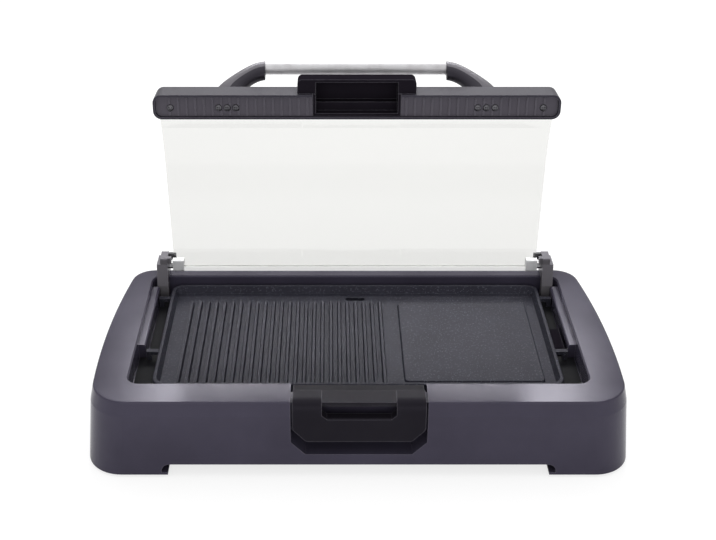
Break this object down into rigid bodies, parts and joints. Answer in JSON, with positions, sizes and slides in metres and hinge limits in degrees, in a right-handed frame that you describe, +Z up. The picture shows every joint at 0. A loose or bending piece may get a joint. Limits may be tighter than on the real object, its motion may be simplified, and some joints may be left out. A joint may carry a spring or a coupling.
{
  "type": "electric indoor grill with lid",
  "caption": "Countertop electric grill: ridged and flat cast plate in a moulded base, lift-out drip tray with front grip, hinged bent-glass lid with bar handle.",
  "frame": {"origin": "centre of the footprint of the whole object with its lid open, on the surface that the feet stand on", "axes": "+X to the user's right along the long side, +Y to the back where the lid is hinged, +Z up"},
  "size_m": [0.5416, 0.3246, 0.3151],
  "materials": {
    "housing_plastic": "fine satin moulded, dark slate",
    "black_plastic": "satin black moulded, heat resistant",
    "non_stick_cast": "dark non-stick coat, slightly speckled",
    "tray_coat": "dark enamel",
    "bright_steel": "brushed along its length",
    "screw_steel": "plated",
    "sheet_steel": "bright rolled sheet",
    "element_sheath": "heat-tinted sheath",
    "clear_glass": "tempered, polished edges",
    "foot_rubber": "matt rubber",
    "silicone": "matt silicone",
    "edge_silicone": "pale clear silicone",
    "ceramic": "glazed ceramic"
  },
  "bodies": {
    "base": {"housing": "housing_plastic", "bottom_cover": "black_plastic", "cover_screws": "screw_steel", "foot_pads": "foot_rubber", "heat_reflector": "sheet_steel", "inlet_bezel": "black_plastic", "hinge_post_left": "black_plastic", "hinge_post_right": "black_plastic", "post_screws": "screw_steel", "rest_bumpers": "silicone"},
    "tray": {"drip_tray": "tray_coat", "tray_grip": "black_plastic", "grip_rivets": "screw_steel"},
    "plate": {"grill_plate": "non_stick_cast", "heating_element": "element_sheath", "element_clamps": "sheet_steel", "clamp_screws": "screw_steel", "terminal_shroud": "black_plastic", "ceramic_bushes": "ceramic", "terminal_pins": "screw_steel"},
    "lid": {"lid_glass": "clear_glass", "lid_frame": "housing_plastic", "glass_seal": "silicone", "notch_hood": "black_plastic", "frame_screws": "screw_steel", "handle_bar": "bright_steel", "handle_arm_left": "black_plastic", "handle_arm_right": "black_plastic", "glass_edge_strip": "edge_silicone", "frame_cover_left": "housing_plastic", "frame_cover_right": "housing_plastic", "hinge_lug_left": "bright_steel", "hinge_lug_right": "bright_steel", "hinge_pin_left": "screw_steel", "hinge_pin_right": "screw_steel"}
  },
  "joints": [
    {"name": "lid_hinge", "type": "hinge", "parent": "base", "child": "lid", "pos_m": [0, 0.08667, 0.096], "axis": [1, 0, 0], "range_deg": [0, 94]},
    {"name": "tray_lift", "type": "slide", "parent": "base", "child": "tray", "axis": [0, 0, 1], "range_m": [0, 0.13]},
    {"name": "plate_lift", "type": "slide", "parent": "tray", "child": "plate", "axis": [0, 0, 1], "range_m": [0, 0.11]}
  ]
}
